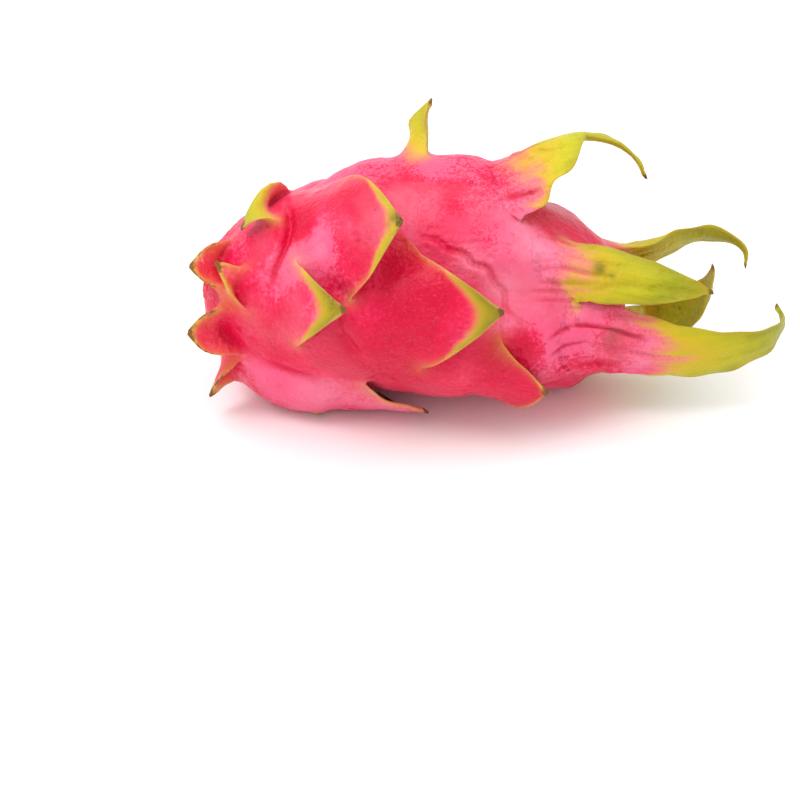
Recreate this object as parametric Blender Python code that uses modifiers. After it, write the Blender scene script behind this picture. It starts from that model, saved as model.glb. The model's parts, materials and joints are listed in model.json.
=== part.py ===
"""A whole dragon fruit, lying on its side as it rests on a table.

The fruit's axis runs along X, from the cut stem at -X to the crown of long
scales round the flower scar at +X. Angles round the axis start at the front
(-Y) and turn upwards, so 90 degrees is the top and 180 degrees the back.
Metres, +Z up, with the origin under the middle of the bounding box.
"""

import math
import random
from collections import namedtuple

import bmesh
import bpy
from mathutils import Matrix, Vector

MM = 0.001

# Body, without its scales
BODY_RADIUS = 31.0 * MM
BODY_ROUNDNESS = 2.4  # 2 is an ellipse, more is fuller towards the ends
STEM_HALF = 58.5 * MM  # from the widest place to the stem end
FLOWER_HALF = 68.0 * MM  # from the widest place to the flower end
BODY_DIVISIONS = 5
DROOP = 13.0 * MM  # how far the ends sink below the middle
DROOP_REACH = 62.0 * MM
STEM_PIT_DEPTH = 6.0 * MM
STEM_PIT_ANGLE = 20.0  # degrees of the end that sinks in
NAVEL_DEPTH = 15.0 * MM
NAVEL_ANGLE = 25.0
FLAT_DEPTH = 1.5 * MM  # how much of the belly is pressed flat

# Scales
PAD_HEIGHT = 8.2 * MM  # how far the skin swells to a pad under the root of a broad scale
FULL_WIDTH = 38.0  # width in millimetres of a scale with a pad of that height
PAD_SHARPNESS = 6.0  # how sharply neighbouring pads meet
PAD_BACK = 0.1  # how far behind the root a pad's middle is, as shares of the scale's width
PAD_BEFORE = 0.75  # its reach towards the stem
PAD_AFTER = 0.26  # its reach towards the flower
PAD_ASIDE = 0.5  # its reach to either side
LEAST_RADIUS = 0.3 * BODY_RADIUS  # of the body, where a pad's reach to the side is measured
PAD_FADE = 0.45 * BODY_RADIUS  # the radius below which the pads fade out towards both ends
MARGIN_THICKNESS = 0.9 * MM
ROOT_DIP = 14.0  # degrees at which a scale's buried root goes down
TIP_WIDTH = 1.0 * MM
FLARE = 0.35  # how much wider a scale is where it leaves the skin
FLARE_SHARE = 0.35
ROOT_NARROWING = 0.55  # how much narrower its buried end is than that
CORNER_DROP = 6.5 * MM  # how far the root's corners go down into the skin
CORNER_SHARE = 0.6
HORN_START = 0.56  # share of the free length where the broad part ends
UNDER_SHARE = 0.9  # how much of its lift a scale loses on the side the fruit lies on
UNDER_DIP = 9.0  # and how many degrees it goes down there
ROW_LENGTH = 6.4 * MM
COLUMN_WIDTH = 7.6 * MM

# Stem stub and flower scar, each standing in a plain round socket
STUB_RADIUS = 5.6 * MM
STUB_LENGTH = 8.0 * MM
STUB_FIBRES = 6  # splinters on its broken end
SCAR_RADIUS = 6.4 * MM
SCAR_LENGTH = 7.0 * MM
SCAR_STALKS = 9  # withered stalks in a ring on the scar
SOCKET_DEPTH = 3.6 * MM
SOCKET_GAP = 0.3 * MM
ROUND_STEPS = 28

# One scale: x and angle (degrees) where it leaves the skin, free length, width
# and root thickness in millimetres, its headings above the skin from root to
# tip in degrees, its taper (1 is straight, more is rounder, less is waisted),
# its sideways sway in degrees, its curl across, as 1 / radius in 1 / mm, its
# twist from root to tip in degrees, and the width of the horn at its tip, as a
# share of the whole width.
Scale = namedtuple(
    "Scale",
    "x angle length width thick lifts taper sway cup twist horn",
    defaults=(0.0, 0.0),
)

SCALES = {
    # round the cut stem
    "stem_front": Scale(-52, 8, 12, 16, 2.8, (44, 75, 110, 130), 2.6, 6, 0.06),
    "stem_low": Scale(-52, -38, 11, 15, 2.8, (40, 60, 80, 90), 2.2, -8, 0.05),
    "stem_top": Scale(-51, 52, 12, 16, 2.8, (44, 75, 110, 120), 2.6, 0, 0.05),
    "stem_side": Scale(-47, 30, 10, 13, 2.6, (34, 70, 110, 130), 1.6, 20, 0.06),
    # small scales behind them, the upper one folded back on itself
    "folded": Scale(-40, 82, 15, 17, 2.8, (30, 40, 240, 214), 1.8, -16, -0.02),
    "small_front": Scale(-42, 24, 32, 33, 3.6, (8, 11, 4, -6), 1.6, -3, 0.03),
    # the broad scales of the belly
    "broad_upper": Scale(-32, 54, 35, 48, 4.8, (9, 12, 9, 0), 2.5, -5, 0.03),
    "broad_front": Scale(-10, 11, 37, 43, 4.8, (8, 11, 7, -1), 1.6, 9, 0.025),
    "spike": Scale(-5, 114, 21, 28, 9.0, (34, 76, 84, 34), 0.6, 0, 0.05, 35),
    "belly_front": Scale(17, -23, 22, 34, 4.0, (9, 8, 4, -2), 2.2, 0, 0.03),
    # the crown
    "crown_top": Scale(22, 109, 55, 36, 5.0, (37, 45, 22, -76), 14.0, 0, 0.06, 0, 0.3),
    "crown_front": Scale(33, 52, 54, 20, 6.0, (-2, 6, 18, 10), 2.9, -9, 0.06),
    "crown_low": Scale(40, -9, 88, 28, 6.0, (-3, 10, 44, -106), 1.5, 5, 0.055),
    "crown_back": Scale(49, 148, 61, 18, 5.0, (-22, 62, 100, -96), 1.8, 0, 0.05),
    "crown_far": Scale(48, 262, 65, 30, 4.0, (0, -8, -24, -76), 3.4, 0, 0.07),
}

# Rows of scales round the sides that the front view hides: how many, the first
# angle and the step in degrees, then a scale of the row, each a little altered.
HIDDEN_ROWS = {
    "stem": (2, 172, 58, Scale(-51, 0, 10, 15, 2.8, (42, 65, 90, 110), 2.2, 0, 0.05)),
    "small": (3, 178, 60, Scale(-41, 0, 23, 27, 3.2, (25, 33, 31, 26), 1.5, 0, 0.03)),
    "broad": (3, 166, 68, Scale(-22, 0, 27, 42, 4.2, (9, 13, 10, 2), 1.8, 0, 0.03)),
    "belly": (2, 190, 52, Scale(2, 0, 30, 42, 4.2, (9, 12, 8, 0), 1.6, 0, 0.03)),
    "crown": (2, 206, 50, Scale(30, 0, 32, 28, 4.6, (4, 12, 14, 6), 1.6, 0, 0.04)),
}
ALTERING = random.Random(5)


def pressed(lifts, angle):
    """The headings of a scale, flatter where the fruit lies on it."""
    under = max(0.0, -math.sin(math.radians(angle)))
    return tuple(lift * (1.0 - UNDER_SHARE * under) - UNDER_DIP * under for lift in lifts)


for row_name, (count, first, step, one) in HIDDEN_ROWS.items():
    for number in range(count):
        turned = first + step * number + ALTERING.uniform(-6.0, 6.0)
        SCALES[f"{row_name}_{number}"] = one._replace(
            x=one.x + ALTERING.uniform(-2.5, 2.5),
            angle=turned,
            length=one.length * ALTERING.uniform(0.9, 1.1),
            lifts=pressed(one.lifts, turned),
            sway=ALTERING.uniform(-8.0, 8.0),
        )

SKIN = ("dragon_fruit_skin", (0.86, 0.06, 0.17), 0.45)
STEM = ("woody_stem", (0.30, 0.17, 0.07), 0.85)
SCAR = ("dry_flower_scar", (0.38, 0.23, 0.09), 0.9)


def smooth(share):
    share = min(1.0, max(0.0, share))
    return share * share * (3.0 - 2.0 * share)


def half_length(x):
    return STEM_HALF if x < 0.0 else FLOWER_HALF


def plain_radius(x):
    """The body's radius at x, before the skin swells."""
    share = abs(x / half_length(x))
    return BODY_RADIUS * math.sqrt(max(0.0, 1.0 - share**BODY_ROUNDNESS))


def outward(x, radius):
    """The plain body's outward direction in the half plane of x and radius."""
    half = half_length(x)
    along = 0.5 * BODY_ROUNDNESS * abs(x / half) ** (BODY_ROUNDNESS - 1.0) / half
    return Vector((math.copysign(along, x), radius / BODY_RADIUS**2)).normalized()


def swelling(x, radius, angle):
    """How far the skin stands out at this place, as it rises to each scale."""
    total = 0.0
    for scale in SCALES.values():
        width = scale.width * MM
        along = x - scale.x * MM + PAD_BACK * width
        along /= width * (PAD_BEFORE if along < 0.0 else PAD_AFTER)
        turn = (angle - math.radians(scale.angle) + math.pi) % (2 * math.pi) - math.pi
        across = max(radius, LEAST_RADIUS) * turn / (PAD_ASIDE * width)
        bump = math.exp(-along * along - across * across)
        total += (bump * scale.width / FULL_WIDTH) ** PAD_SHARPNESS
    return PAD_HEIGHT * smooth(radius / PAD_FADE) * total ** (1.0 / PAD_SHARPNESS)


def skin(x, angle):
    """(x, radius) of the swollen skin over x, at this angle."""
    radius = plain_radius(x)
    normal = outward(x, radius)
    rise = swelling(x, radius, angle)
    return Vector((x, radius)) + normal * rise


def place(x, radius, angle):
    """The point in space of a place given round the fruit's axis."""
    sink = DROOP * (1.0 - math.exp(-((x / DROOP_REACH) ** 2)))
    return Vector((x, -radius * math.cos(angle), radius * math.sin(angle) - sink))


def body_point(direction):
    """The point of the body towards this unit direction."""
    x = direction.x * half_length(direction.x)
    angle = math.atan2(direction.z, -direction.y)
    x_out, radius = skin(x, angle)
    from_stem = math.degrees(math.acos(max(-1.0, min(1.0, -direction.x))))
    x_out += STEM_PIT_DEPTH * (1.0 - smooth(from_stem / STEM_PIT_ANGLE))
    x_out -= NAVEL_DEPTH * (1.0 - smooth((180.0 - from_stem) / NAVEL_ANGLE))
    return place(x_out, radius, angle)


def heading(scale, share):
    """The scale's heading in degrees above the skin, share of its free length out."""
    rest = 1.0 - share
    weights = (rest**3, 3 * rest**2 * share, 3 * rest * share**2, share**3)
    return sum(w * lift for w, lift in zip(weights, scale.lifts))


def root_length(scale):
    return min(0.3 * scale.width, 12.0) * MM


def centre_line(scale, rows):
    """(x, radius, heading, share) along the middle of a scale, from its buried
    root, where share is below 0, to its tip, where share is 1."""
    x = scale.x * MM
    angle = math.radians(scale.angle)
    start = skin(x, angle)
    normal = outward(x, plain_radius(x))
    tangent = math.atan2(-normal.x, normal.y)
    length = scale.length * MM
    root = root_length(scale)
    root_rows = max(2, rows // 4)
    dip = tangent + math.radians(scale.lifts[0] + ROOT_DIP)
    line = []
    for i in range(root_rows, 0, -1):
        back = root * i / root_rows
        spot = start - back * Vector((math.cos(dip), math.sin(dip)))
        line.append((spot.x, spot.y, dip, -back / length))
    spot = start.copy()
    fine = 8
    for i in range(rows * fine + 1):
        share = i / (rows * fine)
        turn = tangent + math.radians(heading(scale, share))
        if i % fine == 0:
            line.append((spot.x, spot.y, turn, share))
        spot += Vector((math.cos(turn), math.sin(turn))) * length / (rows * fine)
    return line


def half_width(scale, share):
    """Half the scale's width, this share of its free length out."""
    free = max(0.0, share)
    buried = max(0.0, -share) * scale.length * MM / root_length(scale)
    if scale.horn:
        broad = max(0.0, 1.0 - (free / HORN_START) ** scale.taper)
        outline = (1.0 - scale.horn) * broad + scale.horn * (1.0 - free**1.6)
    else:
        outline = 1.0 - free**scale.taper
    outline += FLARE * (1.0 - smooth(free / FLARE_SHARE))
    outline *= 1.0 - ROOT_NARROWING * smooth(buried)
    return 0.5 * max(TIP_WIDTH, scale.width * MM * outline)


def scale_point(scale, row, across):
    """A point of the scale's outer face: row is from centre_line, and across
    runs from -1 at one margin to 1 at the other."""
    x, radius, turn, share = row
    free = max(0.0, share)
    side = across * half_width(scale, share)
    body_bend = 1.0 / max(plain_radius(scale.x * MM), 12.0 * MM)
    bend = body_bend + (scale.cup / MM - body_bend) * smooth(free * 1.4)
    bend = math.copysign(max(abs(bend), 1.0), bend)
    inward = (math.cos(side * bend) - 1.0) / bend
    inward -= CORNER_DROP * across**2 * (1.0 - smooth(free / CORNER_SHARE))
    sideways = math.sin(side * bend) / bend
    angle = math.radians(scale.angle + scale.sway * free)
    twist = math.radians(scale.twist * smooth(free * 1.5))
    sine, cosine = math.sin(twist), math.cos(twist)
    rise = inward * cosine + sideways * sine
    sideways = sideways * cosine - inward * sine
    centre = place(x - math.sin(turn) * rise, radius + math.cos(turn) * rise, angle)
    return centre + Vector((0.0, math.sin(angle), math.cos(angle))) * sideways


def thickness(scale, share, across):
    """The scale's thickness at this place: full at the root, thin at margin and tip."""
    middle = scale.thick * MM * (1.0 - 0.75 * smooth(max(0.0, share) * 1.1))
    return max(MARGIN_THICKNESS, middle * (1.0 - abs(across) ** 2.2))


def new_object(name, bm, collection):
    mesh = bpy.data.meshes.new(name)
    bm.to_mesh(mesh)
    bm.free()
    obj = bpy.data.objects.new(name, mesh)
    collection.objects.link(obj)
    return obj


def applied_mesh(obj):
    """The object's mesh with its modifiers applied."""
    graph = bpy.context.evaluated_depsgraph_get()
    return bpy.data.meshes.new_from_object(obj.evaluated_get(graph))


def make_body(collection):
    bm = bmesh.new()
    bmesh.ops.create_icosphere(bm, subdivisions=BODY_DIVISIONS, radius=1.0)
    for vertex in bm.verts:
        vertex.co = body_point(vertex.co.normalized())
    return new_object("fruit", bm, collection)


def make_scale(name, scale, collection):
    """A scale as a curved sheet, made solid inwards, thick at its root."""
    rows = max(4, round(scale.length * MM / ROW_LENGTH))
    columns = max(4, 2 * round(scale.width * MM / COLUMN_WIDTH / 2.0))
    line = centre_line(scale, rows)
    bm = bmesh.new()
    bmesh.ops.create_grid(bm, x_segments=len(line) - 1, y_segments=columns, size=1.0)
    weights = []
    for vertex in bm.verts:
        row = line[round((vertex.co.x + 1.0) / 2.0 * (len(line) - 1))]
        across = vertex.co.y
        vertex.co = scale_point(scale, row, across)
        weights.append(thickness(scale, row[3], across) / (scale.thick * MM))
    obj = new_object(name, bm, collection)
    group = obj.vertex_groups.new(name="thickness")
    for index, weight in enumerate(weights):
        group.add([index], weight, "REPLACE")
    solidify = obj.modifiers.new("thickness", "SOLIDIFY")
    solidify.thickness = scale.thick * MM
    solidify.offset = -1.0
    solidify.vertex_group = "thickness"
    solidify.thickness_vertex_group = 0.05
    return obj


def outer_shell(mesh):
    """Leaves only the mesh's largest body, so that no scrap or sealed hollow stays."""
    bm = bmesh.new()
    bm.from_mesh(mesh)
    bmesh.ops.remove_doubles(bm, verts=bm.verts, dist=0.00002)
    unseen = set(bm.faces)
    shells = []
    while unseen:
        shell = []
        edge_of_shell = [unseen.pop()]
        while edge_of_shell:
            face = edge_of_shell.pop()
            shell.append(face)
            for edge in face.edges:
                for other in edge.link_faces:
                    if other in unseen:
                        unseen.remove(other)
                        edge_of_shell.append(other)
        shells.append(shell)
    shells.sort(key=len)
    for shell in shells[:-1]:
        bmesh.ops.delete(bm, geom=shell, context="FACES")
    bm.to_mesh(mesh)
    bm.free()


def press_flat(mesh):
    """Cuts the belly off level, and returns the height of the cut."""
    bm = bmesh.new()
    bm.from_mesh(mesh)
    height = min(vertex.co.z for vertex in bm.verts) + FLAT_DEPTH
    cut = bmesh.ops.bisect_plane(
        bm,
        geom=bm.verts[:] + bm.edges[:] + bm.faces[:],
        dist=1e-7,
        plane_co=(0.0, 0.0, height),
        plane_no=(0.0, 0.0, -1.0),
        clear_outer=True,
    )
    rim = [item for item in cut["geom_cut"] if isinstance(item, bmesh.types.BMEdge)]
    bmesh.ops.edgeloop_fill(bm, edges=rim)
    bmesh.ops.triangulate(bm, faces=bm.faces[:])
    bm.to_mesh(mesh)
    bm.free()
    return height


def combine(obj, others, operation):
    """Joins or cuts the object with a collection's objects, and removes them."""
    boolean = obj.modifiers.new("others", "BOOLEAN")
    boolean.operand_type = "COLLECTION"
    boolean.collection = others
    boolean.operation = operation
    boolean.solver = "MANIFOLD"
    mesh = applied_mesh(obj)
    obj.modifiers.clear()
    obj.data = mesh
    for other in list(others.objects):
        bpy.data.objects.remove(other)
    bpy.data.collections.remove(others)
    outer_shell(mesh)


def new_collection(name):
    collection = bpy.data.collections.new(name)
    bpy.context.scene.collection.children.link(collection)
    return collection


def join_scales(body):
    """Joins the scales to the body with one union, and presses the belly flat."""
    scales = new_collection("scales")
    for name, scale in SCALES.items():
        make_scale(name, scale, scales)
    combine(body, scales, "UNION")
    press_flat(body.data)


def end_frame(side):
    """Where a socket's floor is, as a matrix whose Z points out of the fruit at
    this end: -1 is the stem's, 1 the flower's."""
    floor = body_point(Vector((side, 0.0, 0.0)))
    floor.x -= side * SOCKET_DEPTH
    return Matrix.Translation(floor) @ Matrix.Rotation(side * math.pi / 2.0, 4, "Y")


def cut_sockets(fruit):
    cutters = new_collection("sockets")
    for side, radius in ((-1.0, STUB_RADIUS), (1.0, SCAR_RADIUS)):
        bm = bmesh.new()
        bmesh.ops.create_cone(
            bm,
            cap_ends=True,
            segments=ROUND_STEPS,
            radius1=radius + SOCKET_GAP,
            radius2=radius + SOCKET_GAP,
            depth=4.0 * SOCKET_DEPTH,
            matrix=end_frame(side) @ Matrix.Translation((0.0, 0.0, 2.0 * SOCKET_DEPTH)),
        )
        cutter = new_object("socket", bm, cutters)
        cutter.hide_render = True
        cutter.display_type = "WIRE"
    combine(fruit, cutters, "DIFFERENCE")


def turned(name, profile, collection):
    """A turned solid: the profile's (radius, height) points run from top to bottom."""
    bm = bmesh.new()
    points = [bm.verts.new((radius, 0.0, height)) for radius, height in profile]
    for above, below in zip(points, points[1:]):
        bm.edges.new((above, below))
    obj = new_object(name, bm, collection)
    screw = obj.modifiers.new("turn", "SCREW")
    screw.steps = ROUND_STEPS
    screw.render_steps = ROUND_STEPS
    screw.use_merge_vertices = True
    screw.merge_threshold = 0.00001
    obj.data = applied_mesh(obj)
    obj.modifiers.clear()
    return obj


def add_stalks(obj, count, ring, radius, heights, lean):
    """Fuses a ring of leaning cones to the top of a turned solid, and one in the
    middle. Each is a little altered."""
    stalks = new_collection("stalks")
    altering = random.Random(count)
    for number in range(count + 1):
        middle = number == count
        turn = 2.0 * math.pi * (number + altering.uniform(-0.2, 0.2)) / count
        height = altering.uniform(*heights)
        tilt = 0.0 if middle else lean * altering.uniform(0.6, 1.3)
        bm = bmesh.new()
        bmesh.ops.create_cone(
            bm,
            cap_ends=True,
            segments=7,
            radius1=radius,
            radius2=radius * 0.35,
            depth=height,
            matrix=Matrix.Rotation(turn, 4, "Z")
            @ Matrix.Translation((0.0 if middle else ring, 0.0, obj["top"]))
            @ Matrix.Rotation(tilt, 4, "Y"),
        )
        new_object("stalk", bm, stalks)
    combine(obj, stalks, "UNION")


def make_stub(collection):
    """The cut woody stem, with a rough broken end."""
    top = STUB_LENGTH
    profile = (
        (0.0, top - 0.8 * MM),
        (STUB_RADIUS * 0.55, top - 0.4 * MM),
        (STUB_RADIUS * 0.85, top),
        (STUB_RADIUS * 0.98, top - 0.7 * MM),
        (STUB_RADIUS * 0.9, 0.55 * top),
        (STUB_RADIUS, 0.4 * top),
        (STUB_RADIUS, SOCKET_GAP),
        (0.0, SOCKET_GAP),
    )
    stub = turned("stem_stub", profile, collection)
    stub["top"] = top - 0.6 * MM
    add_stalks(stub, STUB_FIBRES, 0.5 * STUB_RADIUS, 0.9 * MM, (2.0 * MM, 3.4 * MM), 0.1)
    stub.data.transform(end_frame(-1.0))
    return stub


def make_scar(collection):
    """The dry disc that the flower left, with a ring of withered stalks."""
    top = SCAR_LENGTH
    profile = (
        (0.0, top - 1.2 * MM),
        (SCAR_RADIUS * 0.5, top - 1.0 * MM),
        (SCAR_RADIUS * 0.8, top),
        (SCAR_RADIUS, top - 0.8 * MM),
        (SCAR_RADIUS, SOCKET_GAP),
        (0.0, SOCKET_GAP),
    )
    scar = turned("flower_scar", profile, collection)
    scar["top"] = top
    add_stalks(scar, SCAR_STALKS, 0.72 * SCAR_RADIUS, 0.9 * MM, (5.0 * MM, 9.0 * MM), 0.35)
    scar.data.transform(end_frame(1.0))
    return scar


def finish(obj, look):
    name, colour, roughness = look
    material = bpy.data.materials.get(name) or bpy.data.materials.new(name)
    material.use_nodes = True
    shader = material.node_tree.nodes["Principled BSDF"]
    shader.inputs["Base Color"].default_value = (*colour, 1.0)
    shader.inputs["Roughness"].default_value = roughness
    obj.data.materials.clear()
    obj.data.materials.append(material)
    obj.data.shade_smooth()


def centre_all(objects):
    """Moves the parts so that the origin is under the middle of their box."""
    corners = [vertex.co for obj in objects for vertex in obj.data.vertices]
    low = Vector(min(c[i] for c in corners) for i in range(3))
    high = Vector(max(c[i] for c in corners) for i in range(3))
    middle = (low + high) / 2.0
    shift = Matrix.Translation((-middle.x, -middle.y, -low.z))
    for obj in objects:
        obj.data.transform(shift)


def main():
    for obj in list(bpy.data.objects):
        bpy.data.objects.remove(obj)
    parts = new_collection("dragon_fruit")
    fruit = make_body(parts)
    join_scales(fruit)
    cut_sockets(fruit)
    stub = make_stub(parts)
    scar = make_scar(parts)
    finish(fruit, SKIN)
    finish(stub, STEM)
    finish(scar, SCAR)
    centre_all([fruit, stub, scar])


main()
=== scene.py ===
import json
import math
import random
from collections import namedtuple
from functools import partial

import bmesh
import bpy
import numpy as np
from mathutils import Matrix, Vector, bvhtree, kdtree, noise

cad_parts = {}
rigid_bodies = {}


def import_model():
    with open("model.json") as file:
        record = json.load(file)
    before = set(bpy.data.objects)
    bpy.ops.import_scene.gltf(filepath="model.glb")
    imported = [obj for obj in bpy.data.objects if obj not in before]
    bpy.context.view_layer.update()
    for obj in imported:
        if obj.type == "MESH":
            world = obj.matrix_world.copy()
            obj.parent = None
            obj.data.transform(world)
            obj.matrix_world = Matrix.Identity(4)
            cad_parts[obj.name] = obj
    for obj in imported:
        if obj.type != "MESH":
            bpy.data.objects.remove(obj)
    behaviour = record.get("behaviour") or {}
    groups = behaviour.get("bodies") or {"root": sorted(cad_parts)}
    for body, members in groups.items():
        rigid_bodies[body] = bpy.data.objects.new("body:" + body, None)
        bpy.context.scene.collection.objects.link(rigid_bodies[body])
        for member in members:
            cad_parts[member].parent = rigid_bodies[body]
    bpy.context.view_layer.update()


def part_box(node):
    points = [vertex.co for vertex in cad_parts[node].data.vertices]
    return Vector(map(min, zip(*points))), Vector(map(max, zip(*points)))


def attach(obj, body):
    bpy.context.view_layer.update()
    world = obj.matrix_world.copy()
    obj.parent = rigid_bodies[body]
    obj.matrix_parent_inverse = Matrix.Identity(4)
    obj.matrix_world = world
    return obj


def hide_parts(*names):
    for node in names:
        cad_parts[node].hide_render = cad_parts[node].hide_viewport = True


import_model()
scene = bpy.context.scene
mm = 0.001
print("frame loaded")


# Dragon fruit body: its axis runs along X from the cut stem to the crown, and
# angles round it start at the front and turn upwards

body = {
    "radius": 31.0 * mm,
    "roundness": 2.4,  # 2 is an ellipse, more is fuller towards the ends
    "stemHalf": 58.5 * mm,  # from the widest place to the stem end
    "flowerHalf": 68.0 * mm,  # from the widest place to the flower end
    "droop": 13.0 * mm,  # how far the ends sink below the middle
    "droopReach": 62.0 * mm,
    "stemPitDepth": 6.0 * mm,
    "stemPitAngle": 20.0,
    "navelDepth": 15.0 * mm,
    "navelAngle": 25.0,
    "socketDepth": 3.6 * mm,
    "socketGap": 0.3 * mm,
    "divisions": 7,
}
pads = {
    "height": 8.2 * mm,  # how far the skin swells towards the root of a broad scale
    "fullWidth": 38.0,
    "before": 0.1,  # shares of a scale's width: how far before its root a pad is highest,
    "stemReach": 0.75,  # how far it fades towards the stem,
    "crownReach": 0.26,  # and towards the crown
    "sharpness": 6.0,  # how sharply neighbouring pads meet
    "creaseDepth": 1.1 * mm,  # the line where they meet
    "creaseWidth": 0.09,
    "wrinkleDepth": 0.8 * mm,
    "fadeShare": 0.45,  # of the body's radius: nearer the axis the pads fade out
}
blade = {
    "rootDip": 14.0,  # degrees at which a buried root goes down
    "rootShare": 0.3,  # of the scale's width
    "longestRoot": 12.0,  # millimetres
    "tipWidth": 0.9 * mm,
    "flare": 0.35,  # how much wider a scale is where it leaves the skin
    "flareShare": 0.35,
    "rootNarrowing": 0.55,
    "cornerDrop": 6.5 * mm,
    "cornerShare": 0.6,
    "hornStart": 0.56,  # share of the free length where the broad part ends
    "marginThickness": 0.7 * mm,
    "edgeShare": 0.55,  # of that, at the very edge
    "marginBand": 0.9 * mm,  # how far its own tint shows
    "stemwards": -50,  # the scales before this place have dry margins
    "dryTip": 3.0,  # millimetres
    "rowLength": 1.5 * mm,
    "columnWidth": 1.5 * mm,
    "crowding": 1.35,  # 1 spaces the columns evenly, more crowds them at the margins
    "wave": 0.45 * mm,  # how far a margin waves
    "waveLength": 13.0 * mm,
    "foldDepth": 0.8 * mm,  # lengthwise folds where a long scale bends out of the fruit
    "foldSpacing": 4.6 * mm,
    "foldedLength": 45,  # longer scales have these folds
    "combedLength": 36.0,  # the fibres start to show on scales longer than this
    "combedFull": 14.0,  # and show fully on those that are longer again by this
}

# One scale, in millimetres and degrees: where its root is along the fruit and round it, its
# size, its headings off the skin at four places up to its tip, how full its outline is, how it
# swings aside, its bend across per millimetre, its twist, how broad a horn it ends in, the shares
# of its length where the yellow starts and the green is full, and how deep a red it is
Scale = namedtuple(
    "Scale",
    "x angle length width thick lifts taper sway cup turn horn yellow green red",
    defaults=(0.0, 0.0, 0.35, 1.0, 0.3),
)
scales = {
    "stemFront": Scale(-52, 8, 12, 16, 2.8, (44, 75, 110, 130), 2.6, 6, 0.06, yellow=0.8, green=1.5, red=0.8),
    "stemLow": Scale(-52, -38, 11, 15, 2.8, (40, 60, 80, 90), 2.2, -8, 0.05, yellow=0.8, green=1.5, red=0.8),
    "stemTop": Scale(-51, 52, 12, 16, 2.8, (44, 75, 110, 120), 2.6, 0, 0.05, yellow=0.8, green=1.5, red=0.7),
    "stemSide": Scale(-47, 30, 10, 13, 2.6, (34, 70, 110, 130), 1.6, 20, 0.06, yellow=0.7, green=1.4,
                      red=0.8),
    "folded": Scale(-40, 82, 15, 17, 2.8, (30, 40, 240, 214), 1.8, -16, -0.02, yellow=0.4, green=0.9),
    "smallFront": Scale(-42, 24, 32, 33, 3.6, (8, 11, 4, -6), 1.6, -3, 0.03, yellow=0.62, red=0.75),
    "broadUpper": Scale(-32, 54, 35, 48, 4.8, (9, 12, 9, 0), 2.5, -5, 0.03, yellow=0.82, green=1.3, red=0.65),
    "broadFront": Scale(-10, 11, 37, 43, 4.8, (8, 11, 7, -1), 1.6, 9, 0.025, yellow=0.66, green=1.1, red=1.0),
    "spike": Scale(-5, 114, 21, 28, 9.0, (34, 76, 84, 34), 0.6, 0, 0.05, 35, yellow=0.12, green=0.8, red=0.1),
    "bellyFront": Scale(17, -23, 22, 34, 4.0, (9, 8, 4, -2), 2.2, 0, 0.03, yellow=0.92, green=1.6, red=0.9),
    "crownTop": Scale(22, 109, 55, 36, 5.0, (37, 45, 22, -76), 14.0, 0, 0.06, 0, 0.3, 0.06, 0.75, red=0.1),
    "crownFront": Scale(33, 52, 54, 20, 6.0, (-2, 6, 18, 10), 2.9, -9, 0.06, yellow=0.12, green=0.85),
    "crownLow": Scale(40, -9, 88, 28, 6.0, (-3, 10, 44, -106), 1.5, 5, 0.055, yellow=0.28, green=0.85),
    "crownBack": Scale(49, 148, 61, 18, 5.0, (-22, 62, 100, -96), 1.8, 0, 0.05, yellow=0.0, green=0.8),
    "crownFar": Scale(48, 262, 65, 30, 4.0, (0, -8, -24, -76), 3.4, 0, 0.07, yellow=0.15, green=0.7),
}
hiddenRows = {  # how many, the first angle and the step, then a scale of the row
    "stem": (2, 172, 58, Scale(-51, 0, 10, 15, 2.8, (42, 65, 90, 110), 2.2, 0, 0.05, yellow=0.7, green=1.2)),
    "small": (3, 178, 60, Scale(-41, 0, 23, 27, 3.2, (25, 33, 31, 26), 1.5, 0, 0.03, yellow=0.5)),
    "broad": (3, 166, 68, Scale(-22, 0, 27, 42, 4.2, (9, 13, 10, 2), 1.8, 0, 0.03, yellow=0.65)),
    "belly": (2, 190, 52, Scale(2, 0, 30, 42, 4.2, (9, 12, 8, 0), 1.6, 0, 0.03, yellow=0.6)),
    "crown": (2, 206, 50, Scale(30, 0, 32, 28, 4.6, (4, 12, 14, 6), 1.6, 0, 0.04, yellow=0.35)),
}
altering = random.Random(5)
altered = {  # the ranges that a hidden scale is altered in
    "turn": (-6.0, 6.0),
    "shift": (-2.5, 2.5),
    "length": (0.9, 1.1),
    "sway": (-8.0, 8.0),
    "flatter": 0.9,  # where the fruit lies on it
    "dip": 9.0,
    "lateYellow": 0.6,
    "lateGreen": 0.8,
}
for rowName, (count, first, step, one) in hiddenRows.items():
    for number in range(count):
        turned = first + step * number + altering.uniform(*altered["turn"])
        under = max(0.0, -math.sin(math.radians(turned)))
        scales[f"{rowName}{number}"] = one._replace(
            x=one.x + altering.uniform(*altered["shift"]),
            angle=turned,
            length=one.length * altering.uniform(*altered["length"]),
            lifts=tuple(lift * (1.0 - altered["flatter"] * under) - altered["dip"] * under
                        for lift in one.lifts),
            sway=altering.uniform(*altered["sway"]),
            yellow=one.yellow + altered["lateYellow"] * under,
            green=1.0 + altered["lateGreen"] * under,
        )


def smooth(share):
    share = min(1.0, max(0.0, share))
    return share * share * (3.0 - 2.0 * share)


def halfLength(x):
    return body["stemHalf"] if x < 0.0 else body["flowerHalf"]


def plainRadius(x):
    share = abs(x / halfLength(x))
    return body["radius"] * math.sqrt(max(0.0, 1.0 - share ** body["roundness"]))


def outward(x, radius):
    half = halfLength(x)
    along = 0.5 * body["roundness"] * abs(x / half) ** (body["roundness"] - 1.0) / half
    return Vector((math.copysign(along, x), radius / body["radius"] ** 2)).normalized()


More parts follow.
